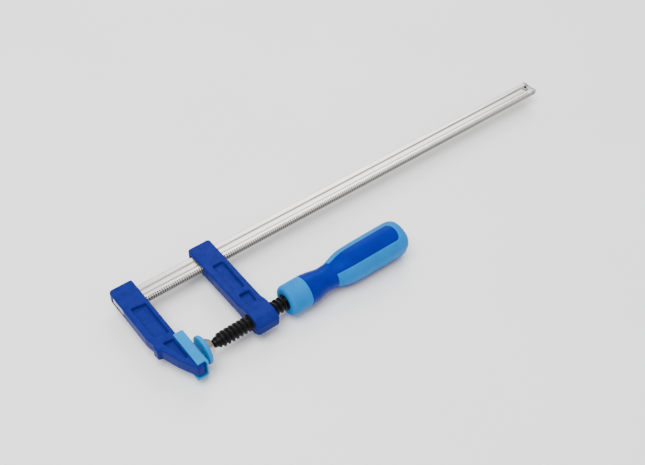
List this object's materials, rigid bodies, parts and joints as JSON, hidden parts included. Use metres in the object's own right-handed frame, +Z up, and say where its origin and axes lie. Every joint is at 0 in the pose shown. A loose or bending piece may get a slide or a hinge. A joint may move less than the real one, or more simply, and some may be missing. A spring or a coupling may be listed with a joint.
{
  "type": "f clamp",
  "caption": "Bar clamp with a fixed jaw, a sliding arm, and a screw with a moulded handle and a swivelling pressure pad.",
  "frame": {"origin": "middle of the fixed clamping face, on the screw's axis", "axes": "+X along the bar, away from the fixed jaw; +Y towards the bar; +Z up, out of the plane that the clamp lies in"},
  "size_m": [0.37, 0.083, 0.0246],
  "materials": {
    "plated_steel": "zinc plated, drawn lengthwise",
    "spring_steel": "bright",
    "blue_casting": "semi-gloss powder coat on a rough casting",
    "black_steel": "black oxide, lightly oiled",
    "light_blue_plastic": "satin moulding",
    "dark_blue_plastic": "semi-gloss moulding",
    "light_blue_rubber": "matte soft over-moulding"
  },
  "bodies": {
    "frame": {"bar": "plated_steel", "bar_stop_pin": "spring_steel", "fixed_jaw": "blue_casting", "fixed_jaw_pad": "light_blue_plastic"},
    "arm": {"sliding_arm": "blue_casting"},
    "carrier": {"ball_retaining_ring": "spring_steel"},
    "screw": {"spindle": "black_steel", "handle_core": "dark_blue_plastic", "handle_collar": "light_blue_rubber", "handle_grip": "light_blue_rubber"},
    "swivel": {"swivel_plate": "plated_steel", "swivel_pad": "light_blue_plastic"}
  },
  "joints": [
    {"name": "arm_slide", "type": "slide", "parent": "frame", "child": "arm", "axis": [1, 0, 0], "range_m": [0, 0.2877]},
    {"name": "spindle_turn", "type": "hinge", "parent": "carrier", "child": "screw", "pos_m": [0.0059, 0, 0], "axis": [1, 0, 0], "range_deg": [0, 3060]},
    {"name": "spindle_feed", "type": "slide", "parent": "arm", "child": "carrier", "axis": [1, 0, 0], "range_m": [0, 0.0256]},
    {"name": "pad_tilt", "type": "hinge", "parent": "carrier", "child": "swivel", "pos_m": [0.0059, 0, 0], "axis": [0, 0, 1], "range_deg": [-10, 10]}
  ],
  "couplings": [
    {"joint": "spindle_feed", "follows": "spindle_turn", "m_per_rad": 0.00047746}
  ]
}
